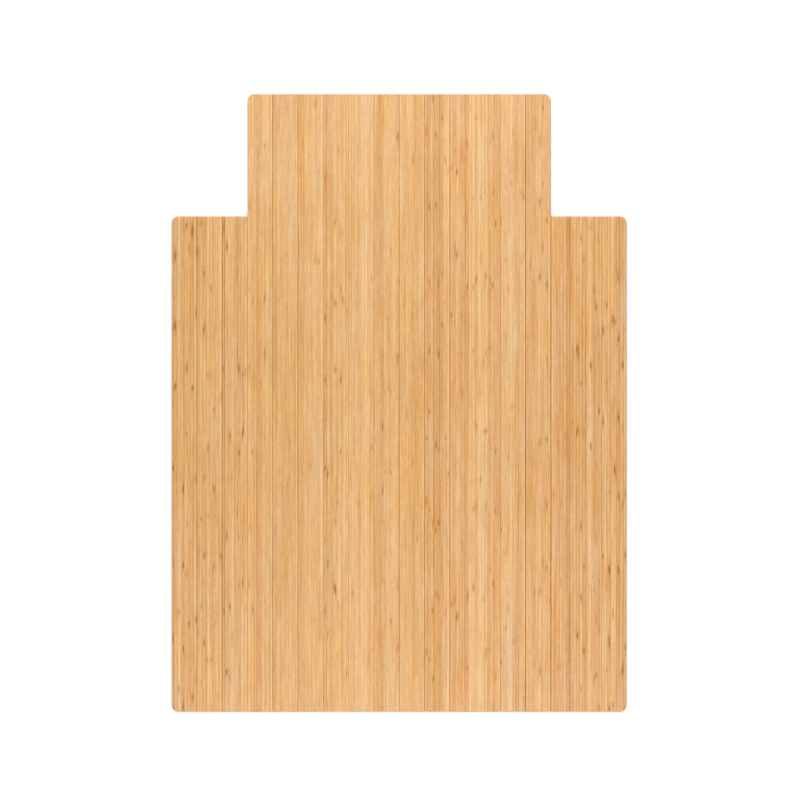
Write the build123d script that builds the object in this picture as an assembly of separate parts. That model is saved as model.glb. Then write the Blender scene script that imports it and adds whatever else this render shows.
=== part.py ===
from build123d import *

import os
from math import radians, tan

# Roll-up bamboo chair mat with a lip.
#
# Eighteen flat bamboo slats lie side by side on a felt backing. The slats are bonded to the felt
# and not to each other, so every seam between two slats is a hinge line, and the mat rolls up with
# the felt on the inside. The lip is the narrower front part that goes under the desk.
#
# Frame: the mat lies on the floor, Z is up and the floor is Z = 0. X runs across the slats, Y along
# them with the lip at +Y, and the origin is below the middle of the mat. Millimetres.

# Driving dimensions
SLAT_PITCH = 50.0          # one slat and one seam
LIP_SLATS = 12             # the long slats, which make the lip
SHOULDER_SLATS = 3         # the short slats on each side of the lip
MAT_DEPTH = 1222.0         # along the slats, lip included
LIP_DEPTH = 242.0          # how far the lip stands out of the shoulders
SLAT_THICKNESS = 6.5
FELT_THICKNESS = 1.5
SEAM_GAP = 0.4             # between the sides of two neighbouring slats
CORNER_RADIUS = 13.0       # the outer corners in plan
RIM_BEVEL = 2.5            # around the top of the whole outline, so that casters roll over it
ARRIS_RADIUS = 0.8         # the eased top edges along each seam
FOOT_CHAMFER = 0.4         # the eased bottom edges along each seam
FELT_INSET = 1.0           # the felt stops this far inside the bamboo's outline
FELT_GAP = 0.2             # from the seam's middle to the felt strip beside it
MAX_SEAM_ANGLE = 60.0      # the most that one seam can fold, in degrees
SPARE = 20.0               # how far cutting shapes run past the mat

# Worked out from them
SLAT_COUNT = LIP_SLATS + 2 * SHOULDER_SLATS
MAT_WIDTH = SLAT_COUNT * SLAT_PITCH
LIP_WIDTH = LIP_SLATS * SLAT_PITCH
SHOULDER_Y = MAT_DEPTH / 2 - LIP_DEPTH
HINGE_HEIGHT = FELT_THICKNESS / 2      # the felt bends about its own mid-plane
# Below the hinge line the felt is crushed as a seam folds, so each strip's end leans away from it.
CRUSH_WIDTH = HINGE_HEIGHT * tan(radians(MAX_SEAM_ANGLE / 2))


def outline(inset):
    """The mat's plan as a face: a wide body with a narrower lip, and every outer corner rounded."""
    side, lip_side = MAT_WIDTH / 2 - inset, LIP_WIDTH / 2 - inset
    back, shoulder, front = inset - MAT_DEPTH / 2, SHOULDER_Y - inset, MAT_DEPTH / 2 - inset
    right_half = [(side, back), (side, shoulder), (lip_side, shoulder), (lip_side, front)]
    left_half = [(-x, y) for x, y in reversed(right_half)]
    face = make_face(Polyline(*right_half, *left_half, close=True))
    outer_corners = [
        v for v in face.vertices() if not (abs(v.Y - shoulder) < inset + 1 and abs(v.X) < side - 1)
    ]
    return fillet(outer_corners, CORNER_RADIUS - inset)


def seam_places(index):
    """The X of the left and right seam of slat number index, counted from 0 at -X."""
    left = index * SLAT_PITCH - MAT_WIDTH / 2
    return left, left + SLAT_PITCH


def reach(index, gap):
    """The left and right side of a strip: gap short of a seam, or well past the mat's own side."""
    left, right = seam_places(index)
    low = left - SPARE if index == 0 else left + gap
    high = right + SPARE if index == SLAT_COUNT - 1 else right - gap
    return low, high


def bamboo_board():
    """The whole bamboo layer before it is parted into slats, with its bevelled rim."""
    board = Pos(0, 0, FELT_THICKNESS) * extrude(outline(0), SLAT_THICKNESS)
    rim = board.faces().sort_by(Axis.Z)[-1].edges()
    return chamfer(rim, RIM_BEVEL)


def slat(board, index):
    """One slat, with the long edges beside its seams eased above and below."""
    low, high = reach(index, SEAM_GAP / 2)
    corner = (Align.MIN, Align.CENTER, Align.MIN)
    blank = Box(high - low, MAT_DEPTH + SPARE, SLAT_THICKNESS, align=corner)
    long_edges = blank.edges().filter_by(Axis.Y).group_by(Axis.Z)
    blank = fillet(long_edges[-1], ARRIS_RADIUS)
    long_edges = blank.edges().filter_by(Axis.Y).group_by(Axis.Z)
    blank = chamfer(long_edges[0], FOOT_CHAMFER)
    return board & (Pos(low, 0, FELT_THICKNESS) * blank)


def felt_strip(sheet, index):
    """The felt under one slat. Its ends lean back below the hinge line to leave room for the fold."""
    low, high = reach(index, FELT_GAP)
    section = make_face(
        Plane.XZ
        * Polyline(
            (low + CRUSH_WIDTH, 0),
            (high - CRUSH_WIDTH, 0),
            (high, HINGE_HEIGHT),
            (high, FELT_THICKNESS),
            (low, FELT_THICKNESS),
            (low, HINGE_HEIGHT),
            close=True,
        )
    )
    return sheet & extrude(section, MAT_DEPTH / 2 + SPARE, both=True)


def write(shape, name):
    """Saves one node, under the name that its piece goes by."""
    solids = shape.solids()
    shape = solids[0] if len(solids) == 1 else Compound(solids)
    shape.label = name
    export_step(shape, os.path.join("parts", name + ".step"))


os.makedirs("parts", exist_ok=True)
board = bamboo_board()
sheet = extrude(outline(FELT_INSET), FELT_THICKNESS)
for index in range(SLAT_COUNT):
    number = f"{index + 1:02d}"
    write(slat(board, index), "bamboo_slat_" + number)
    write(felt_strip(sheet, index), "felt_strip_" + number)
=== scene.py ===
import math
import random
from collections import namedtuple

import bmesh
import bpy
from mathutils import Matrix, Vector, noise


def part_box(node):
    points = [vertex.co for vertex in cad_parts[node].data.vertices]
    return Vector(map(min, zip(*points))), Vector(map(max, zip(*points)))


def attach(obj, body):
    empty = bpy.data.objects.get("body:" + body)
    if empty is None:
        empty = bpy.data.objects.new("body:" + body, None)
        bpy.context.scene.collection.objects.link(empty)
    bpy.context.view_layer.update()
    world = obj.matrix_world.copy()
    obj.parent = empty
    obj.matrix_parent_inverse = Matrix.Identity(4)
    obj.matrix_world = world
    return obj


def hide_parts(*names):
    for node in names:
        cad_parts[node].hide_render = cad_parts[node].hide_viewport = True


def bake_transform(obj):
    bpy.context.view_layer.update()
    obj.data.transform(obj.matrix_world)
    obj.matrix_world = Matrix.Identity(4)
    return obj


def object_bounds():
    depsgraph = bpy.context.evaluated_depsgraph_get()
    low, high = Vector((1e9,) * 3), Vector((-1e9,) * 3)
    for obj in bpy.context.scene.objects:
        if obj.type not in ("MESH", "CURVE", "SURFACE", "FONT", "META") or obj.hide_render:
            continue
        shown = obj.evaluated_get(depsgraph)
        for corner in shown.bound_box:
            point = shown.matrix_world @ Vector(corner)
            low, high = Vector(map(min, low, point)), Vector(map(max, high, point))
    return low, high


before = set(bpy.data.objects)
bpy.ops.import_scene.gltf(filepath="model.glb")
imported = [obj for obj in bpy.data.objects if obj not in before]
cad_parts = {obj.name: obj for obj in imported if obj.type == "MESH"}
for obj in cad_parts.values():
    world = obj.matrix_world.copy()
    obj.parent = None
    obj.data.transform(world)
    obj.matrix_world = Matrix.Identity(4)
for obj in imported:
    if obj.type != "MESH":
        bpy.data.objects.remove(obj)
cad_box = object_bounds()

# Roll-up bamboo chair mat, seen flat from straight above. Metres, in the CAD model's frame.
# The bamboo slats and the felt backing are built anew here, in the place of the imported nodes.

MM = 0.001
TOUCHING = 0.001 * MM        # places nearer than this are the same place

# ---------------------------------------------------------------------------------------------
# The slats as the eye sees them, from -X to +X. Each digit of strips is one bamboo strip of the
# lamination, from 0, red-brown, to 9, pale straw, and a bar is a dark line between two strips.
# lines is how strong the fine lines along the slat are, marks how often and how darkly the
# bamboo's nodes show, and seam how dark the line between the slat and its right neighbour is:
# it rounds the edges beside that seam, and paints shade on the wood beside it, or paints that
# wood lighter where seam is under 5.
# ---------------------------------------------------------------------------------------------
Look = namedtuple("Look", "strips lines marks seam")
LOOKS = [
    Look("6|475|554|6", 3, 8, 8),
    Look("46|476567", 5, 6, 8),
    Look("3|556|4466", 3, 9, 4),
    Look("765|45666", 5, 3, 5),
    Look("46555555", 2, 1, 6),
    Look("54666666", 3, 2, 3),
    Look("35466665", 4, 5, 0),
    Look("66668866", 3, 3, 5),
    Look("54466665", 2, 3, 5),
    Look("56664455", 2, 2, 4),
    Look("4|35|42|266", 4, 5, 6),
    Look("54645|387", 3, 5, 3),
    Look("788|745|54", 4, 4, 4),
    Look("66675|5|56", 0, 4, 8),
    Look("44456555", 2, 4, 8),
    Look("54444|1|35", 5, 3, 2),
    Look("46|4|57353", 5, 8, 3),
    Look("67|475|3|46", 6, 9, 5),
]

# Sizes that the slats share
SLAT_COUNT = len(LOOKS)
LIP_SLATS = 12               # the long slats, which make the lip
SHOULDER_SLATS = (SLAT_COUNT - LIP_SLATS) // 2      # the short ones on each side of it
CORNER_RADIUS = 13 * MM      # the mat's outer corners, in plan
RIM_BEVEL = 2.5 * MM         # round the top of the whole outline
RIM_EASE = 0.35 * MM         # the bevel's own edges are sanded over this much
RIM_FOOT = 0.2 * MM          # the outline's bottom edge is eased by this much
EASE_LEAST = 0.22 * MM       # the top edges beside a seam are rounded by this radius
EASE_STEP = 0.06 * MM        # and by this much more for each step of the look's seam
EASE_MOST = 0.8 * MM         # the rounding lies within this distance of the top
EASE_STEPS = 7
FOOT_CHAMFER = 0.4 * MM      # the bottom edges beside a seam
ARC_STEPS = 10               # facets of a quarter turn in plan
ROW_LENGTH = 61 * MM         # the tops are divided this often along the slat
SHARP_ANGLE = math.radians(50)       # a fold that is sharper than this isn't shaded smooth

# How a slat is planed and laminated
PLANING_WAVE = 0.06 * MM     # how far a planed top dips
WAVE_LENGTH = 170 * MM       # about how long the dips are along the slat
WAVE_WIDTH = 20 * MM         # and across it
STRIP_UNEVEN = 0.22          # how far a glue line is off its even place, in strips
TONE_MIDDLE = 0.74           # a strip of tone 5 on the bamboo's scale of colours
TONE_STEP = 0.045            # from one digit to the next
SEAM_MIDDLE = 4.5            # a look's seam that paints no shade beside it
SEAM_STEPS = 5               # this much more paints the darkest shade beside a seam
NODE_PITCH = 148 * MM        # from one bamboo node to the next along a strip
NODE_SLOPE = (4 * MM, 12 * MM)       # from a strip's nodes to its neighbour's, along Y
NODE_SCATTER = 8 * MM        # how far they are off that line
STRAY_SHARE = 0.35           # this share of the strips has its nodes somewhere else
STRAY_BY = (0.25, 0.75)      # as far off as this, in node pitches
FULL_MARKS = 8               # a look's marks that are fully dark
FULL_LINES = 7               # a look's lines that are at their full strength
MARK_SCATTER = 0.2           # how much the darkness of the marks differs between strips
MARK_MOST = 1.1              # the darkest that scatter makes them
DARK_GLUE = (0.6, 1.0)       # how dark the glue line at a bar is, at least and at most
FAINT_GLUE = (0.05, 0.35)    # and any other glue line
HIGHLIGHT_STRENGTHS = (0.5, 1.0)       # how strong the painted highlight on the edge to the left of a seam is
FIRST_SEED = 100             # each slat draws its own random numbers

# The felt
FELT_INSET = 1.0 * MM
FELT_BEND = 1.0 * MM         # the felt bends within this distance of a seam's middle
BEND_STEPS = 4               # columns of faces on each side of the seam in that distance
FELT_COLUMNS = 12            # columns of faces across a piece besides
BEND_CLEAR = 1.6 * MM        # which aren't nearer to the seam than this
FELT_ROW = 12 * MM           # the pieces are divided this often along the slat
WAVE_SIZE = 14 * MM          # about how large the waves of the soft felt are
FELT_WAVE = 0.2 * MM         # how far the underside dips in and the cut edge wanders

bodies = [f"section_{i + 1:02d}" for i in range(SLAT_COUNT)]
slat_names = [f"bamboo_slat_{i + 1:02d}" for i in range(SLAT_COUNT)]
felt_names = [f"felt_strip_{i + 1:02d}" for i in range(SLAT_COUNT)]
low, high = cad_box
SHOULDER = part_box(slat_names[0])[1].y
LIP_SIDE = high.x * LIP_SLATS / SLAT_COUNT
SLAT_PITCH = high.x * 2 / SLAT_COUNT
SLAT_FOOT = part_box(slat_names[0])[0].z
SLAT_TOP = high.z


def seam_place(index):
    """The X of the seam at the right of slat number index, counted from 0 at -X."""
    return low.x + SLAT_PITCH * (index + 1)


def as_mesh(shape, name):
    """A mesh made from a bmesh, which is then let go."""
    mesh = bpy.data.meshes.new(name)
    shape.to_mesh(mesh)
    shape.free()
    return mesh


def add_piece(name, mesh, material):
    piece = bpy.data.objects.new(name, mesh)
    bpy.context.scene.collection.objects.link(piece)
    mesh.materials.append(material)
    return piece


# ---------------------------------------------------------------------------------------------
# Bamboo slats
# ---------------------------------------------------------------------------------------------
def arc(centre, radius, start):
    """A quarter turn of points about centre, anticlockwise from start degrees."""
    turns = [math.radians(start + 90 * i / ARC_STEPS) for i in range(ARC_STEPS + 1)]
    return [(centre[0] + radius * math.cos(a), centre[1] + radius * math.sin(a)) for a in turns]


def half_outline(side, lip_side, right, inset, seam_inset, front, back):
    """The right-hand part of a slat's plan, from the back to the front: its outer side and corners.

    side is where the mat's rim is, or None where the side is a seam all the way, and lip_side the
    same for a slat whose side is a seam up to the shoulder and rim beside the lip.
    """
    round_by = CORNER_RADIUS - inset
    if side is not None:
        x = side - CORNER_RADIUS
        return arc((x, back + CORNER_RADIUS), round_by, 270) + arc((x, front - CORNER_RADIUS), round_by, 0)
    points = [(right - seam_inset, back + inset)]
    if lip_side is None:
        return points + [(right - seam_inset, front - inset)]
    points += [(right - seam_inset, SHOULDER - inset), (lip_side - inset, SHOULDER - inset)]
    return points + arc((lip_side - CORNER_RADIUS, front - CORNER_RADIUS), round_by, 0)


def slat_plan(index, inset, left_inset, right_inset):
    """A slat's outline at one height, anticlockwise: inset is the rim's, the others the seams'."""
    start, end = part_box(slat_names[index])
    right_side = high.x if index == SLAT_COUNT - 1 else None
    right_lip = LIP_SIDE if index == SLAT_COUNT - 1 - SHOULDER_SLATS else None
    left_side = high.x if index == 0 else None
    left_lip = LIP_SIDE if index == SHOULDER_SLATS else None
    right = half_outline(right_side, right_lip, end.x, inset, right_inset, end.y, start.y)
    mirrored = half_outline(left_side, left_lip, -start.x, inset, left_inset, end.y, start.y)
    left = [(-x, y) for x, y in reversed(mirrored)]
    # No corner lies past the slat's own sides.
    return [(min(max(x, start.x), end.x), y) for x, y in right + left]


def rounding(height, radius):
    """How far a rounded top edge has come in at a height."""
    rise = max(height - (SLAT_TOP - radius), 0)
    return radius - math.sqrt(max(radius**2 - rise**2, 0))


def slat_levels(index):
    """The heights of a slat's profile, each with the rim's inset and the left and right seam's."""
    ease_left, ease_right = (EASE_LEAST + EASE_STEP * LOOKS[i].seam for i in (max(index - 1, 0), index))
    levels = [(SLAT_FOOT, RIM_FOOT, FOOT_CHAMFER, FOOT_CHAMFER), (SLAT_FOOT + FOOT_CHAMFER, 0, 0, 0)]
    # The bevel starts with a soft bend and, in the last few levels, ends with one.
    bevel_foot = SLAT_TOP - RIM_BEVEL
    for rise in (-2 * RIM_EASE, 0, 2 * RIM_EASE):
        levels.append((bevel_foot + rise, (rise + math.hypot(rise, RIM_EASE)) / 2, 0, 0))
    for i in range(EASE_STEPS + 1):
        height = SLAT_TOP - EASE_MOST * (1 - math.sin(math.radians(90 * i / EASE_STEPS)))
        inset = height - bevel_foot + RIM_EASE * (i / EASE_STEPS) ** 4
        levels.append((height, inset, rounding(height, ease_left), rounding(height, ease_right)))
    return levels


def strip_edges(index, count, rng):
    """Where the strips of a slat meet, in X."""
    start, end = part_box(slat_names[index])
    width = (end.x - start.x) / count
    return [start.x + width * (i + rng.uniform(-STRIP_UNEVEN, STRIP_UNEVEN)) for i in range(1, count)]


def divide(shape, places, axis):
    """Cuts every face of a bmesh where it crosses a place along an axis."""
    normal = Vector([float(k == axis) for k in range(3)])
    for place in places:
        bmesh.ops.bisect_plane(
            shape,
            geom=shape.verts[:] + shape.edges[:] + shape.faces[:],
            plane_co=normal * place,
            plane_no=normal,
            dist=TOUCHING,
        )


def stack(shape, loops):
    """A closed solid through a stack of loops, all with the same number of points."""
    rings = [[shape.verts.new(p) for p in loop] for loop in loops]
    for lower, upper in zip(rings, rings[1:]):
        for i in range(len(lower)):
            j = (i + 1) % len(lower)
            shape.faces.new((lower[i], lower[j], upper[j], upper[i]))
    shape.faces.new(list(reversed(rings[0])))
    shape.faces.new(rings[-1])
    bmesh.ops.remove_doubles(shape, verts=shape.verts[:], dist=TOUCHING)


def face_values(mesh, name, values):
    """Stores three numbers for each face, which the material reads by name."""
    layer = mesh.attributes.new(name, "FLOAT_VECTOR", "FACE")
    layer.data.foreach_set("vector", [x for v in values for x in v])


def seam_shade(index):
    """How much painted shade lies on the wood beside a slat's right seam, or painted light where it is
    below 0.
    """
    return (LOOKS[index].seam - SEAM_MIDDLE) / SEAM_STEPS


def strip_facts(index, sides, rng):
    """What the material is told about each strip of a slat. sides is where the strips begin and end.

    strip_place: its middle in X, its width and a seed
    strip_look: its tone, its hue, and how dark the glue line at its right side is
    strip_node: where its nodes are along Y, how dark they are, and how strong its fine lines are
    strip_side: how much painted shade lies beside the seams at its left and right, and how strong the
    painted highlight on its right edge is
    """
    look = LOOKS[index]
    groups = look.strips.split("|")
    before_bar = [k == len(group) - 1 for group in groups for k in range(len(group))]
    digits = [int(digit) for digit in "".join(groups)]
    last = len(digits) - 1
    # The nodes of neighbouring strips lie along a slanting or bent line across the slat.
    bend_at, slope = rng.uniform(1, last - 1), rng.choice((-1, 1)) * rng.uniform(*NODE_SLOPE)
    line_place = rng.uniform(0, NODE_PITCH)
    facts = {"strip_place": [], "strip_look": [], "strip_node": [], "strip_side": []}
    for i, digit in enumerate(digits):
        tone = TONE_MIDDLE + TONE_STEP * (digit - 5 + rng.uniform(-0.5, 0.5))
        glue = rng.uniform(*DARK_GLUE) if before_bar[i] and i < last else rng.uniform(*FAINT_GLUE)
        node_y = line_place + slope * abs(i - bend_at) + rng.gauss(0, NODE_SCATTER)
        if rng.random() < STRAY_SHARE:
            node_y += NODE_PITCH * rng.uniform(*STRAY_BY)
        darkness = min(max(0.0, rng.gauss(look.marks / FULL_MARKS, MARK_SCATTER)), MARK_MOST)
        has_right_seam = i == last and index < SLAT_COUNT - 1
        # The painted shade beside the seams at the strip's left and right
        at_left = seam_shade(index - 1) if i == 0 and index > 0 else 0.0
        at_right = seam_shade(index) if has_right_seam else 0.0
        # A painted highlight along the strip's right edge, where a seam is
        pale = rng.uniform(*HIGHLIGHT_STRENGTHS) if has_right_seam else 0.0
        left, right = sides[i], sides[i + 1]
        facts["strip_place"].append(((left + right) / 2, right - left, rng.uniform(0, 90)))
        facts["strip_look"].append((tone, rng.uniform(-1, 1), glue))
        facts["strip_node"].append((node_y, darkness, look.lines / FULL_LINES))
        facts["strip_side"].append((at_left, at_right, pale))
    return facts


def make_slat(index, material):
    """One slat, with its faces divided along its glue lines so that each strip has its own facts."""
    rng = random.Random(FIRST_SEED + index)
    start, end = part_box(slat_names[index])
    shape = bmesh.new()
    loops = []
    for height, *insets in slat_levels(index):
        loops.append([(x, y, height) for x, y in slat_plan(index, *insets)])
    stack(shape, loops)
    edges = strip_edges(index, len(LOOKS[index].strips.replace("|", "")), rng)
    divide(shape, edges, 0)
    rows = round((end.y - start.y) / ROW_LENGTH)
    divide(shape, [start.y + (end.y - start.y) * i / rows for i in range(1, rows)], 1)
    # The planed top isn't quite flat, and the first coordinate gives every slat dips of its own.
    for v in shape.verts:
        if v.co.z > SLAT_TOP - TOUCHING:
            wave = noise.noise(Vector((index * 3.1, v.co.y / WAVE_LENGTH, v.co.x / WAVE_WIDTH)))
            v.co.z -= PLANING_WAVE * (0.5 + 0.5 * wave)
    bmesh.ops.recalc_face_normals(shape, faces=shape.faces[:])
    mesh = as_mesh(shape, slat_names[index] + "_look")

    facts = strip_facts(index, [start.x] + edges + [end.x], rng)
    owner = [sum(f.center.x > x for x in edges) for f in mesh.polygons]
    for name, values in facts.items():
        face_values(mesh, name, [values[i] for i in owner])

    piece = add_piece(slat_names[index] + "_look", mesh, material)
    mesh.shade_smooth()
    mesh.set_sharp_from_angle(angle=SHARP_ANGLE)
    weighted = piece.modifiers.new("flat_faces_stay_flat", "WEIGHTED_NORMAL")
    weighted.keep_sharp = True
    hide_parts(slat_names[index])
    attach(piece, bodies[index])


# ---------------------------------------------------------------------------------------------
# Materials
# ---------------------------------------------------------------------------------------------
class Nodes:
    """Builds a node tree: each call adds a node and returns its first output."""

    def __init__(self, tree):
        self.tree = tree

    def coordinates(self, kind="Object"):
        return self.tree.nodes.new("ShaderNodeTexCoord").outputs[kind]

    def put(self, socket, value):
        if isinstance(value, bpy.types.NodeSocket):
            self.tree.links.new(value, socket)
        else:
            socket.default_value = value

    def maths(self, operation, *values, clamp=False):
        node = self.tree.nodes.new("ShaderNodeMath")
        node.operation, node.use_clamp = operation, clamp
        for socket, value in zip(node.inputs, values):
            self.put(socket, value)
        return node.outputs[0]

    def vector(self, operation, *values):
        node = self.tree.nodes.new("ShaderNodeVectorMath")
        node.operation = operation
        for socket, value in zip(node.inputs, values):
            self.put(socket, value)
        return node.outputs[0]

    def length(self, vector):
        node = self.tree.nodes.new("ShaderNodeVectorMath")
        node.operation = "LENGTH"
        self.put(node.inputs[0], vector)
        return node.outputs["Value"]

    def split(self, vector):
        node = self.tree.nodes.new("ShaderNodeSeparateXYZ")
        self.put(node.inputs[0], vector)
        return node.outputs

    def join(self, *values):
        node = self.tree.nodes.new("ShaderNodeCombineXYZ")
        for socket, value in zip(node.inputs, values):
            self.put(socket, value)
        return node.outputs[0]

    def noise(self, vector, scale=1.0, detail=2.0, rough=0.5):
        node = self.tree.nodes.new("ShaderNodeTexNoise")
        for name, value in (("Vector", vector), ("Scale", scale), ("Detail", detail), ("Roughness", rough)):
            self.put(node.inputs[name], value)
        return node.outputs[0]

    def random(self, vector):
        node = self.tree.nodes.new("ShaderNodeTexWhiteNoise")
        node.noise_dimensions = "3D"
        self.put(node.inputs["Vector"], vector)
        return node.outputs[0]

    def range(self, value, start, end, low=0.0, high=1.0, kind="LINEAR"):
        node = self.tree.nodes.new("ShaderNodeMapRange")
        node.interpolation_type = kind
        for socket, given in zip(node.inputs, (value, start, end, low, high)):
            self.put(socket, given)
        return node.outputs[0]

    def attribute(self, name):
        node = self.tree.nodes.new("ShaderNodeAttribute")
        node.attribute_name = name
        return node.outputs["Vector"]

    def ramp(self, value, stops):
        node = self.tree.nodes.new("ShaderNodeValToRGB")
        ramp = node.color_ramp
        for position, colour in stops[2:]:
            ramp.elements.new(position)
        for element, (position, colour) in zip(ramp.elements, stops):
            element.position, element.color = position, (*colour, 1)
        self.put(node.inputs[0], value)
        return node.outputs[0]

    def mix(self, share, a, b):
        node = self.tree.nodes.new("ShaderNodeMix")
        node.data_type = "RGBA"
        for socket, value in ((node.inputs[0], share), (node.inputs[6], a), (node.inputs[7], b)):
            self.put(socket, value)
        return node.outputs[2]

    def bump(self, height, strength, distance):
        node = self.tree.nodes.new("ShaderNodeBump")
        self.put(node.inputs["Height"], height)
        node.inputs["Strength"].default_value = strength
        node.inputs["Distance"].default_value = distance
        return node.outputs[0]


def new_material(name, kind=Nodes):
    material = bpy.data.materials.new(name)
    material.use_nodes = True
    tree = material.node_tree
    return material, kind(tree), tree.nodes["Principled BSDF"]


# Bamboo's colours as they reflect light, from node brown to pale straw
BAMBOO = [
    (0.00, (0.345, 0.142, 0.028)),
    (0.25, (0.442, 0.198, 0.049)),
    (0.42, (0.516, 0.247, 0.074)),
    (0.68, (0.614, 0.336, 0.126)),
    (0.84, (0.678, 0.399, 0.166)),
    (1.00, (0.746, 0.468, 0.209)),
]
BEVEL_SHEEN = (0.56, 0.39, 0.24, 1)      # the rim's bevel: a greyer colour, painted sheen
SEAM_SHADE_TINT = (1.0, 0.92, 0.80)         # painted shade on the eased edges beside a seam: darker and browner

# How wide and how long along the slat each kind of grain is
BROAD = (30 * MM, 200 * MM)
FIBRES = (0.36 * MM, 60 * MM)
FINE_LINES = (1.4 * MM, 700 * MM)
PATCHES = (22 * MM, 330 * MM)       # where glue lines and the painted shade beside seams are darker
WARMTH = (14 * MM, 110 * MM)
RAGGED = (1.2 * MM, 5 * MM)         # the edge of a node's mark
# These have a strength on the scale of colours too, and vary over a whole slat, or in each strip anew.
SLAT_GRAIN = [(60 * MM, 230 * MM, 0.10), (9 * MM, 90 * MM, 0.18)]
STRIP_GRAIN = [
    (4.0 * MM, 230 * MM, 0.45),
    (2.6 * MM, 62 * MM, 0.35),
    (2.2 * MM, 22 * MM, 0.32),
    (1.7 * MM, 8 * MM, 0.30),
]
# The mark of a bamboo node is a short brown lens with a fainter tail and a faint halo. Each has its
# half width in halves of a strip, its length in lengths of the mark, and its darkness.
MARK_PARTS = [(0.75, 1.0, 0.52), (0.50, 2.8, 0.16), (1.70, 1.8, 0.08)]
MARK_SHORT, MARK_LONG = 5 * MM, 12 * MM     # the least and the most for half its length
MARK_LEAN = 30.0                    # the most that a mark leans, in halves of a strip to a metre
OFF_PITCH = 0.2                     # the most that a mark is off its place, in node pitches
# What else makes the wood lighter, or darker where it is below 0, on the scale of colours
BROAD_SHADE = -0.10                 # the broad patches, which are warmer and richer too
FIBRE_SHADE = 0.40
LINE_SHADE = 0.90                   # the fine lines along a strip
WALL_SHADE = -0.18                  # the dense outer wall of the culm
# painted shade beside a seam
SEAM_SHADE = -0.45
HIGHLIGHT_LIFT = 0.26                   # the painted highlight on the edge to the left of a seam
GLUE_SHADE = (-0.25, -0.12)         # by how dark the glue line is, and the part that all have
# The lines along a strip's sides
GLUE_WIDTH = 1.3 * MM               # the darkest glue line
GLUE_FADE = 0.4 * MM
SEAM_SIDE = (0.6 * MM, 1.2 * MM)    # from where to where the painted shade beside a seam fades out
HIGHLIGHT_SIDE = (1.8 * MM, 2.8 * MM)    # and the painted highlight to the left of one
# Warmth and richness go in steps, and a step multiplies a colour by this much more or less.
WARM_RED, WARM_GREEN, RICH_BLUE = 0.012, -0.026, -0.050
BLUE = 1.018                        # the blue of wood that is neither rich nor pale
SHEEN_FROM = -0.2                   # the Y from which a painted sheen makes the mat less yellow towards its back


class BambooNodes(Nodes):
    """The bamboo's node tree, which knows what strip_facts says about the strip at each place."""

    def __init__(self, tree):
        super().__init__(tree)
        self.place = self.coordinates()
        self.x, self.y = self.split(self.place)[:2]
        middle, width, self.seed = self.split(self.attribute("strip_place"))
        self.tone, self.hue, self.glue = self.split(self.attribute("strip_look"))
        self.node_y, self.darkness, self.lines = self.split(self.attribute("strip_node"))
        left_seam, right_seam, self.paleness = self.split(self.attribute("strip_side"))

        # Shifts that give every strip, or every slat, a grain of its own
        shift = self.maths("MULTIPLY", self.seed, 7.3), self.maths("MULTIPLY", self.seed, 3.1)
        self.same_strip = self.join(*shift, self.seed)
        slat = self.maths("FLOOR", self.maths("DIVIDE", self.x, SLAT_PITCH))
        self.same_slat = self.join(0.0, self.maths("MULTIPLY", slat, 17.3), 0.0)

        # From -1 to 1 across the strip, and the distances from its sides
        half = self.maths("MULTIPLY", width, 0.5)
        self.across = self.maths("DIVIDE", self.maths("SUBTRACT", self.x, middle), half)
        from_left = self.maths("MULTIPLY", self.maths("ADD", 1.0, self.across), half)
        self.from_right = self.maths("MULTIPLY", self.maths("SUBTRACT", 1.0, self.across), half)

        # How dark the painted shade on the wood beside a seam is, and where that is
        at_left = self.range(from_left, *SEAM_SIDE, 1.0, 0.0)
        at_right = self.range(self.from_right, *SEAM_SIDE, 1.0, 0.0)
        dark_left = self.maths("MULTIPLY", at_left, left_seam)
        self.painted_seam_shade = self.maths("ADD", dark_left, self.maths("MULTIPLY", at_right, right_seam))
        self.near_seam = self.range(self.maths("ABSOLUTE", self.painted_seam_shade), 0.0, 0.1)

    def add(self, level, term, weight):
        return self.maths("MULTIPLY_ADD", term, weight, level)

    def squared(self, value, unit):
        return self.maths("POWER", self.maths("ABSOLUTE", self.maths("DIVIDE", value, unit)), 2.0)

    def chance(self, *key):
        """A number from 0 to 1 that is drawn once for each key."""
        return self.random(self.join(*key))

    def grain(self, across, along, detail=1.0, rough=0.5, whole_slat=False):
        """Noise about zero, drawn out along the slat. across and along are its sizes in metres."""
        scaled = self.vector("MULTIPLY", self.place, (1 / across, 1 / along, 1 / across))
        shifted = self.vector("ADD", scaled, self.same_slat if whole_slat else self.same_strip)
        return self.maths("SUBTRACT", self.noise(shifted, 1.0, detail, rough), 0.5)


def bamboo_grain(n, broad, fibres):
    """How light the wood is, from 0, node brown, to 1, pale straw, by its strip's tone and its grain."""
    level = n.add(n.tone, broad, BROAD_SHADE)
    for across, along, strength in SLAT_GRAIN:
        level = n.add(level, n.grain(across, along, whole_slat=True), strength)
    for across, along, strength in STRIP_GRAIN:
        level = n.add(level, n.grain(across, along), strength)
    level = n.add(level, fibres, FIBRE_SHADE)
    # Fine lines, and the culm's dense and darker outer wall, which most strips have at their right
    turned = n.maths("SIGN", n.maths("SUBTRACT", n.chance(n.seed, 1.5, 0.5), 0.25))
    wall = n.range(n.maths("MULTIPLY", n.across, turned), 0.0, 1.0, 0.0, WALL_SHADE)
    fine = n.add(wall, n.grain(*FINE_LINES, 1.5), LINE_SHADE)
    return n.add(level, fine, n.lines)


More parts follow.
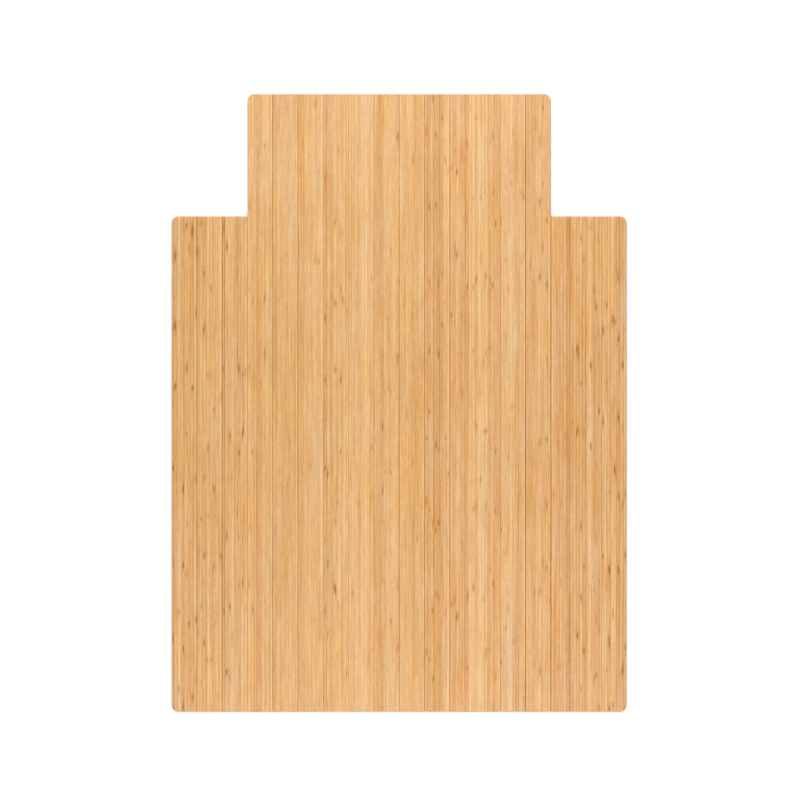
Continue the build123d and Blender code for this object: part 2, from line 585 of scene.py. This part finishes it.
def bamboo_lines(n, level):
    """Adds the glue between two strips, painted shade beside the seams and a painted highlight to the left
    of one.
    """
    patchy = n.range(n.grain(*PATCHES, whole_slat=True), -0.25, 0.25, 0.4, 1.6)
    glue_width = n.maths("MULTIPLY", n.glue, GLUE_WIDTH)
    glue = n.range(n.from_right, glue_width, n.maths("ADD", glue_width, GLUE_FADE), 1.0, 0.0)
    glue = n.maths("MULTIPLY", glue, n.maths("MULTIPLY_ADD", n.glue, *GLUE_SHADE))
    level = n.add(level, glue, patchy)
    # Painted shade beside the seams, as patchy as the glue
    level = n.add(level, n.maths("MULTIPLY", n.painted_seam_shade, patchy), SEAM_SHADE)
    # A painted highlight on the edge to the left of a seam
    edge = n.range(n.from_right, *HIGHLIGHT_SIDE, 1.0, 0.0)
    return n.add(level, n.maths("MULTIPLY", edge, n.paleness), HIGHLIGHT_LIFT)


def bamboo_marks(n, level):
    """Adds the marks of the bamboo's nodes, which aren't all as dark, as long or quite in place."""
    turns = n.maths("DIVIDE", n.maths("SUBTRACT", n.y, n.node_y), NODE_PITCH)
    nearest = n.maths("ROUND", turns)
    off_pitch = n.range(n.chance(nearest, n.seed, 9.5), 0.0, 1.0, -OFF_PITCH, OFF_PITCH)
    away = n.maths("MULTIPLY", n.maths("SUBTRACT", n.maths("ADD", turns, off_pitch), nearest), NODE_PITCH)
    # The marks of one strip are all about as far from its middle, and most of them lean a little.
    place = n.maths("MULTIPLY", n.maths("SUBTRACT", n.chance(n.seed, 3.5, 2.5), 0.5), 1.1)
    lean = n.range(n.chance(nearest, 6.5, n.seed), 0.0, 1.0, -MARK_LEAN, MARK_LEAN)
    sideways = n.add(n.maths("SUBTRACT", n.across, place), away, lean)
    length = n.range(n.chance(nearest, n.seed, 3.5), 0.0, 1.0, MARK_SHORT, MARK_LONG)
    ragged = n.maths("MULTIPLY", n.grain(*RAGGED, 2.0), 1.2)
    # Three in ten don't show at all.
    darkness = n.maths("MULTIPLY", n.range(n.chance(n.seed, nearest, 7.5), 0.3, 0.95), n.darkness)
    for half_width, lengths, strength in MARK_PARTS:
        aside = n.squared(sideways, half_width)
        along = n.squared(away, n.maths("MULTIPLY", length, lengths))
        outwards = n.maths("ADD", n.maths("ADD", aside, along), ragged)
        # outwards is about 1 at the part's outline, where it has almost faded.
        lens = n.range(outwards, 0.1, 1.3, 1.0, 0.0, "SMOOTHSTEP")
        level = n.add(level, n.maths("MULTIPLY", lens, darkness), -strength)
    return level


def bamboo_tint(n, broad):
    """What the wood's red, green and blue are multiplied by, which differs by strip and by patch.

    warm is how many steps more orange and less straw-coloured it is, and rich how many less blue.
    """
    warm = n.add(n.maths("MULTIPLY", n.hue, 0.65), n.grain(*WARMTH, 2.0, whole_slat=True), 5.0)
    warm = n.add(warm, broad, 4.5)
    warm = n.add(warm, n.maths("SUBTRACT", TONE_MIDDLE, n.tone), 4.0)
    rich = n.add(warm, broad, 12.0)
    rich = n.add(rich, n.maths("SUBTRACT", n.chance(n.seed, 5.5, 8.5), 0.5), 0.6)
    # The mat is a little less yellow at its right, and a painted sheen makes it less yellow towards its
    # back.
    rich = n.add(rich, n.x, -1.2)
    rich = n.add(rich, n.range(n.y, SHEEN_FROM, low.y, 0.0, 1.0), -1.2)
    red = n.maths("MULTIPLY_ADD", warm, WARM_RED, 1.0)
    green = n.maths("MULTIPLY_ADD", warm, WARM_GREEN, 1.0)
    blue = n.maths("MULTIPLY_ADD", rich, RICH_BLUE, BLUE)
    return n.join(red, green, blue)


def bamboo_material():
    """Vertical-grain bamboo: strips on edge, with grain, glue lines and nodes, under satin lacquer."""
    material, n, shader = new_material("bamboo", BambooNodes)
    broad = n.grain(*BROAD, 2.0, whole_slat=True)
    fibres = n.grain(*FIBRES, 2.0, 0.6)
    level = bamboo_marks(n, bamboo_lines(n, bamboo_grain(n, broad, fibres)))
    colour = n.vector("MULTIPLY", n.ramp(level, BAMBOO), bamboo_tint(n, broad))
    # Painted sheen greys the rim's bevel, which is what leans outwards and isn't beside a seam.
    upright = n.split(n.coordinates("Normal"))[2]
    rim_sheen = n.maths("SUBTRACT", n.range(upright, 0.95, 0.75, 0.0, 0.45), n.near_seam, clamp=True)
    colour = n.mix(rim_sheen, colour, BEVEL_SHEEN)
    # Painted shade beside a seam, darker and browner
    colour = n.mix(n.near_seam, colour, n.vector("MULTIPLY", colour, SEAM_SHADE_TINT))
    n.put(shader.inputs["Base Color"], colour)
    n.put(shader.inputs["Roughness"], n.range(fibres, -0.3, 0.3, 0.52, 0.42))
    shader.inputs["Coat Weight"].default_value = 0.30
    shader.inputs["Coat Roughness"].default_value = 0.25
    shader.inputs["Specular IOR Level"].default_value = 0.4
    n.put(shader.inputs["Normal"], n.bump(fibres, 0.18, 0.12 * MM))
    return material


# The felt's colours, from between its fibres to their crests
CHARCOAL = [
    (0.00, (0.016, 0.015, 0.0145)),
    (0.55, (0.040, 0.038, 0.036)),
    (1.00, (0.115, 0.110, 0.105)),
]
FIBRE_BEND = (4 * MM, 4 * MM, 4 * MM)       # how far the fibres bend to and fro


def felt_material():
    """Charcoal needle felt: short fibres laid every way, pressed flat."""
    material, n, shader = new_material("felt")
    place = n.coordinates()
    bend = n.vector("SUBTRACT", n.noise(place, 240.0), (0.5, 0.5, 0.5))
    bent = n.vector("ADD", place, n.vector("MULTIPLY", bend, FIBRE_BEND))
    # Waves to a metre along X, Y and Z. The noise is drawn out into fibres where they are fewest.
    along_y = n.noise(n.vector("MULTIPLY", bent, (2600, 420, 1500)), 1.0, 2.0)
    along_x = n.noise(n.vector("MULTIPLY", bent, (420, 2600, 1500)), 1.0, 2.0)
    fibres = n.maths("MAXIMUM", along_y, along_x)
    cloudy = n.noise(place, 55.0, 6.0, 0.65)
    level = n.maths("ADD", n.range(fibres, 0.35, 0.75), n.range(cloudy, 0.3, 0.7, -0.12, 0.12))
    n.put(shader.inputs["Base Color"], n.ramp(level, CHARCOAL))
    n.put(shader.inputs["Roughness"], n.range(fibres, 0.3, 0.8, 0.98, 0.86))
    shader.inputs["Sheen Weight"].default_value = 0.25
    shader.inputs["Sheen Roughness"].default_value = 0.5
    n.put(shader.inputs["Normal"], n.bump(level, 0.6, 0.3 * MM))
    return material


# ---------------------------------------------------------------------------------------------
# The felt backing: one sheet, in a piece for each seam, from the middle of one slat to the next
# ---------------------------------------------------------------------------------------------
FELT_SIDE = high.x - FELT_INSET
FELT_LIP = LIP_SIDE - FELT_INSET
FELT_CORNER = CORNER_RADIUS - FELT_INSET
STEP_WIDTH = 0.01 * MM       # the lip's side is a step as wide as this in the front edge


def felt_reach(x):
    """The felt sheet's back and front edge at X, with the outline's rounded corners."""

    def corner(edge):
        past = abs(x) - (edge - FELT_CORNER)
        return FELT_CORNER - math.sqrt(max(FELT_CORNER**2 - past**2, 0)) if past > 0 else 0.0

    back = low.y + FELT_INSET + corner(FELT_SIDE)
    if abs(x) <= FELT_LIP:
        return back, high.y - FELT_INSET - corner(FELT_LIP)
    return back, SHOULDER - FELT_INSET - corner(FELT_SIDE)


def felt_columns(index):
    """The Xs that divide the felt piece of one seam, close together where it bends."""
    seam = seam_place(index)
    start = -FELT_SIDE if index == 0 else seam - SLAT_PITCH / 2
    end = FELT_SIDE if index == SLAT_COUNT - 2 else seam + SLAT_PITCH / 2
    # The bend has its own columns, with one more on each side, and the others keep clear of them.
    bend = [seam + FELT_BEND * i / BEND_STEPS for i in range(-BEND_STEPS - 1, BEND_STEPS + 2)]
    spread = [start + (end - start) * i / FELT_COLUMNS for i in range(FELT_COLUMNS + 1)]
    places = [x for x in spread if abs(x - seam) > BEND_CLEAR] + bend
    # The columns of the rounded corners, and the far side of the step at the lip
    edge_places = [FELT_LIP + STEP_WIDTH]
    for edge in (FELT_SIDE, FELT_LIP):
        for i in range(ARC_STEPS + 1):
            edge_places.append(edge - FELT_CORNER * (1 - math.sin(math.radians(90 * i / ARC_STEPS))))
    places += [x for place in edge_places for x in (-place, place) if start < x < end]
    kept = []
    for x in sorted(places):
        if not kept or x - kept[-1] > STEP_WIDTH / 2:
            kept.append(x)
    return kept


def felt_wave(x, y, z):
    """How far the soft felt gives way, from 0 to FELT_WAVE: its underside at z 0, its cut edge at 1."""
    return FELT_WAVE * min(max(0.5 + 0.7 * noise.noise(Vector((x, y, z)) / WAVE_SIZE), 0), 1)


def felt_plan(columns, rows):
    """The felt's corners in plan, column by column, with its cut edge a little uneven."""
    plan = []
    for x in columns:
        back, front = felt_reach(x)
        back, front = back + felt_wave(x, back, 1), front - felt_wave(x, front, 1)
        places = [back + (front - back) * i / rows for i in range(rows + 1)]
        at_side = abs(x) > FELT_SIDE - TOUCHING
        plan.append([(x - at_side * math.copysign(felt_wave(x, y, 1), x), y) for y in places])
    return plan


def make_felt(index, material):
    """The felt across one seam, as a closed thin solid with a cut edge and a soft underside."""
    felt_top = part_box(felt_names[0])[1].z
    columns = felt_columns(index)
    rows = round((high.y - low.y) / FELT_ROW)
    plan = felt_plan(columns, rows)
    shape = bmesh.new()
    upper = [[shape.verts.new((x, y, felt_top)) for x, y in column] for column in plan]
    lower = [[shape.verts.new((x, y, felt_wave(x, y, 0))) for x, y in column] for column in plan]
    last = len(columns) - 1
    for c in range(last):
        for r in range(rows):
            shape.faces.new((upper[c][r], upper[c + 1][r], upper[c + 1][r + 1], upper[c][r + 1]))
            shape.faces.new((lower[c][r], lower[c][r + 1], lower[c + 1][r + 1], lower[c + 1][r]))
        shape.faces.new((lower[c][0], lower[c + 1][0], upper[c + 1][0], upper[c][0]))
        shape.faces.new((lower[c][rows], upper[c][rows], upper[c + 1][rows], lower[c + 1][rows]))
    for r in range(rows):
        shape.faces.new((lower[0][r], upper[0][r], upper[0][r + 1], lower[0][r + 1]))
        shape.faces.new((lower[last][r], lower[last][r + 1], upper[last][r + 1], upper[last][r]))
    bmesh.ops.recalc_face_normals(shape, faces=shape.faces[:])
    name = f"felt_seam_{index + 1:02d}"
    mesh = as_mesh(shape, name)
    mesh.shade_smooth()
    mesh.set_sharp_from_angle(angle=SHARP_ANGLE)
    piece = add_piece(name, mesh, material)
    replaced = [felt_names[index]] + ([felt_names[index + 1]] if index == SLAT_COUNT - 2 else [])
    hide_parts(*replaced)
    # Its length on either side of its middle, which differs where the lip's side is
    middle = (columns[0] + columns[-1]) / 2
    lengths = [felt_reach(middle + aside)[1] - felt_reach(0)[0] for aside in (-0.01, 0.01)]
    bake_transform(piece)


# ---------------------------------------------------------------------------------------------
# Stage
# ---------------------------------------------------------------------------------------------
FLOOR_REACH = 14.0
FLOOR_TUCK = 2 * MM          # the floor goes this far under the mat
PALE = [(0.0, (0.88, 0.88, 0.88)), (1.0, (0.92, 0.92, 0.92))]      # between its speckles and in them
# The floor is a light table. It glows this strongly up to NEAR from the middle and beyond FAR.
NEAR, FAR = 0.9, 3.0
NEAR_GLOW, FAR_GLOW = 0.12, 0.62
SOFTBOX = (2.6, 0.8)         # how wide and how tall
WINDOW_STRENGTH = 0.6
WINDOW_SPREAD = math.radians(25)
WINDOW_DIRECTION = (0.35, -0.6, -0.72)
WORLD_STRENGTH = 0.25        # the white all round, as light
FRAME_WIDTH = 1.5815         # how much the picture is across, at the mat's top
LENS, SENSOR = 135.0, 36.0   # in millimetres
AIM = (0.0017, 0.0057)       # the picture's middle, beside the mat's


def make_floor():
    """A pale floor, open below the mat, so that a roll that hangs under its own plane isn't hidden."""
    shape = bmesh.new()
    radius = CORNER_RADIUS - FLOOR_TUCK
    hole = arc((high.x - CORNER_RADIUS, low.y + CORNER_RADIUS), radius, 270)
    hole += arc((high.x - CORNER_RADIUS, SHOULDER - CORNER_RADIUS), radius, 0)
    hole.append((LIP_SIDE - FLOOR_TUCK, SHOULDER - FLOOR_TUCK))
    hole += arc((LIP_SIDE - CORNER_RADIUS, high.y - CORNER_RADIUS), radius, 0)
    hole += [(-x, y) for x, y in reversed(hole)]
    r = FLOOR_REACH
    for loop in ([(-r, -r), (r, -r), (r, r), (-r, r)], hole):
        ring = [shape.verts.new((x, y, 0)) for x, y in loop]
        for i in range(len(ring)):
            shape.edges.new((ring[i], ring[(i + 1) % len(ring)]))
    bmesh.ops.triangle_fill(shape, use_beauty=True, edges=shape.edges[:], normal=(0, 0, 1))
    material, n, shader = new_material("floor")
    place = n.coordinates()
    n.put(shader.inputs["Base Color"], n.ramp(n.noise(place, 900.0, 2.0), PALE))
    shader.inputs["Roughness"].default_value = 1.0
    shader.inputs["Specular IOR Level"].default_value = 0.0
    # It glows, so that the mat hardly shades it, and glows more where the lamps don't reach.
    shader.inputs["Emission Color"].default_value = (1, 1, 1, 1)
    glow = n.range(n.length(place), NEAR, FAR, NEAR_GLOW, FAR_GLOW)
    n.put(shader.inputs["Emission Strength"], glow)
    add_piece("floor", as_mesh(shape, "floor"), material)


def make_softbox(name, place, power):
    """A softbox that faces the mat, wide along X. power is in watts."""
    lamp = bpy.data.lights.new(name, "AREA")
    lamp.shape = "RECTANGLE"
    lamp.size, lamp.size_y = SOFTBOX
    lamp.energy = power
    light = bpy.data.objects.new(name, lamp)
    bpy.context.scene.collection.objects.link(light)
    light.location = place
    light.rotation_euler = (-Vector(place)).to_track_quat("-Z", "Y").to_euler()
    light.visible_camera = False


def make_window():
    """Daylight from the front left, which leaves the bevel at the back and the right a little darker."""
    lamp = bpy.data.lights.new("window", "SUN")
    lamp.energy, lamp.angle = WINDOW_STRENGTH, WINDOW_SPREAD
    light = bpy.data.objects.new("window", lamp)
    bpy.context.scene.collection.objects.link(light)
    light.rotation_euler = Vector(WINDOW_DIRECTION).to_track_quat("-Z", "Y").to_euler()


def make_world():
    """White all round for the camera, and a softer white as light."""
    world = bpy.data.worlds.new("studio")
    world.use_nodes = True
    bpy.context.scene.world = world
    n = Nodes(world.node_tree)
    background = world.node_tree.nodes["Background"]
    background.inputs["Color"].default_value = (1, 1, 1, 1)
    to_camera = world.node_tree.nodes.new("ShaderNodeLightPath").outputs["Is Camera Ray"]
    n.put(background.inputs["Strength"], n.range(to_camera, 0.0, 1.0, WORLD_STRENGTH, 1.0))


def make_camera():
    """Straight above, as far up as fits FRAME_WIDTH into the picture."""
    camera = bpy.data.cameras.new("camera")
    camera.lens, camera.sensor_width = LENS, SENSOR
    camera.clip_end = 100
    eye = bpy.data.objects.new("camera", camera)
    bpy.context.scene.collection.objects.link(eye)
    eye.location = (*AIM, SLAT_TOP + FRAME_WIDTH * LENS / SENSOR)
    bpy.context.scene.camera = eye


make_camera()
make_world()
make_floor()
make_softbox("softbox_front", (0.08, 1.55, 1.55), 37.6)
make_softbox("softbox_back", (0.08, -1.35, 1.5), 28.7)
make_window()
bpy.context.scene.view_settings.view_transform = "Standard"

bamboo = bamboo_material()
felt = felt_material()
for index in range(SLAT_COUNT):
    make_slat(index, bamboo)
for index in range(SLAT_COUNT - 1):
    make_felt(index, felt)
